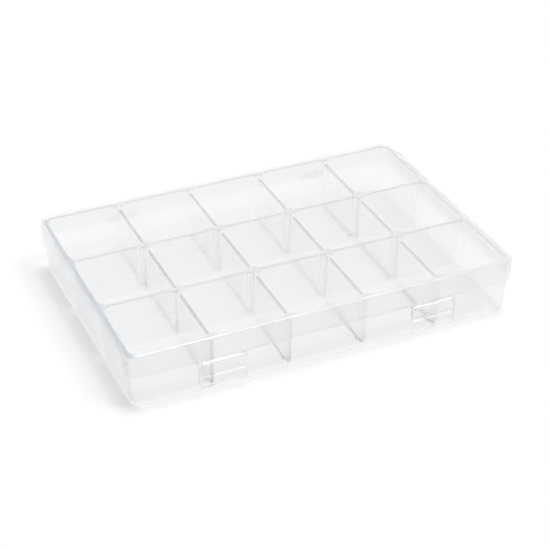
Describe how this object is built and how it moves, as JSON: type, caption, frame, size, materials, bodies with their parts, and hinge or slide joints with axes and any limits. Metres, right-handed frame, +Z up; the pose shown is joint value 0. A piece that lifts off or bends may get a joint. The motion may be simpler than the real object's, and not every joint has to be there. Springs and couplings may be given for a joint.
{
  "type": "compartment storage box",
  "caption": "Shallow clear plastic storage box with a grid of compartments, lift-out cross dividers, a hinged lid and snap latches along the front.",
  "frame": {"origin": "middle of the tray's flat underside", "axes": "+X along the long side, -Y the front with the latches, +Z up through the lid"},
  "size_m": [0.275, 0.1868, 0.043],
  "materials": {
    "tray_plastic": "clear moulded polystyrene, glossy",
    "lid_plastic": "clear moulded polystyrene, glossy",
    "divider_plastic": "clear moulded plate, glossy",
    "latch_plastic": "clear moulded flap, glossy",
    "pin_plastic": "clear moulded pin, glossy"
  },
  "bodies": {
    "base": {"tray": "tray_plastic", "divider_front_1": "divider_plastic", "divider_front_2": "divider_plastic", "divider_front_3": "divider_plastic", "divider_front_4": "divider_plastic", "divider_middle_1": "divider_plastic", "divider_middle_2": "divider_plastic", "divider_middle_3": "divider_plastic", "divider_middle_4": "divider_plastic", "divider_back_1": "divider_plastic", "divider_back_2": "divider_plastic", "divider_back_3": "divider_plastic", "divider_back_4": "divider_plastic", "hinge_pin_left": "pin_plastic", "hinge_pin_right": "pin_plastic"},
    "lid": {"lid": "lid_plastic", "latch_pin_left": "pin_plastic", "latch_pin_right": "pin_plastic"},
    "latch_left": {"latch_left": "latch_plastic"},
    "latch_right": {"latch_right": "latch_plastic"}
  },
  "joints": [
    {"name": "lid_hinge", "type": "hinge", "parent": "base", "child": "lid", "pos_m": [0, 0.0924, 0.025], "axis": [-1, 0, 0], "range_deg": [0, 180]},
    {"name": "latch_left_pivot", "type": "hinge", "parent": "lid", "child": "latch_left", "pos_m": [-0.075, -0.0896, 0.0251], "axis": [-1, 0, 0], "range_deg": [0, 100]},
    {"name": "latch_right_pivot", "type": "hinge", "parent": "lid", "child": "latch_right", "pos_m": [0.075, -0.0896, 0.0251], "axis": [-1, 0, 0], "range_deg": [0, 100]}
  ]
}
